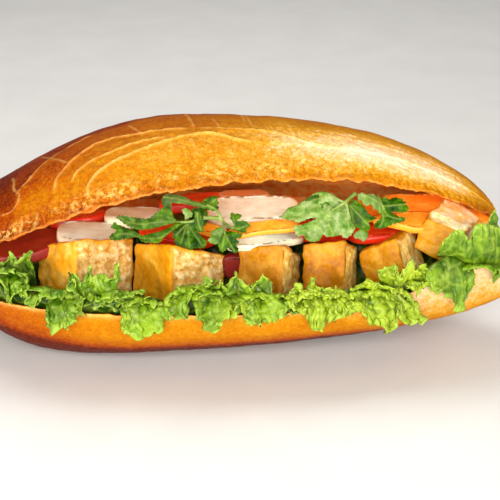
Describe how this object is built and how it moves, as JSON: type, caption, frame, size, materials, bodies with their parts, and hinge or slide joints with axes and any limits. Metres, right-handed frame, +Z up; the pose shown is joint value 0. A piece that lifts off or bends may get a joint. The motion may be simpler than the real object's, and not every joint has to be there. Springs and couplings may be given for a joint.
{
  "type": "banh mi sandwich",
  "caption": "Crusty split baguette opened along its front and filled with fried tofu, pickled daikon, carrot, tomato, frilly lettuce and coriander leaves.",
  "frame": {"origin": "middle of the footprint, on the surface the loaf rests on", "axes": "+X along the loaf, +Y towards the joined back, -Y out of the open front, +Z up"},
  "size_m": [0.2406, 0.1033, 0.0967],
  "materials": {
    "crust": "thin crisp baked crust, golden to red brown, satin with flaky scored edges",
    "crumb": "soft open pale crumb, matte",
    "fried_tofu": "fried golden skin with pale fibrous cut faces, slightly oily",
    "daikon": "wet pickled white radish, smooth and slightly translucent",
    "carrot": "wet cut carrot, smooth with a faint grain",
    "tomato": "wet tomato flesh and skin, glossy",
    "lettuce": "frilly leaf lettuce, waxy, paler at the frill edge",
    "coriander": "thin lobed herb leaves with pale undersides and stems"
  },
  "bodies": {
    "root": {"bread_loaf": "crust", "tofu_1": "fried_tofu", "tofu_2": "fried_tofu", "tofu_3": "fried_tofu", "tofu_4": "fried_tofu", "tofu_5": "fried_tofu", "tofu_6": "fried_tofu", "daikon_1": "daikon", "daikon_2": "daikon", "daikon_3": "daikon", "daikon_4": "daikon", "daikon_5": "daikon", "carrot_1": "carrot", "carrot_2": "carrot", "carrot_3": "carrot", "carrot_4": "carrot", "carrot_5": "carrot", "carrot_6": "carrot", "tomato_1": "tomato", "tomato_2": "tomato", "tomato_3": "tomato", "tomato_4": "tomato", "tomato_5": "tomato", "tomato_6": "tomato", "tomato_7": "tomato", "lettuce_1": "lettuce", "lettuce_2": "lettuce", "lettuce_3": "lettuce", "lettuce_4": "lettuce"}
  },
  "joints": []
}
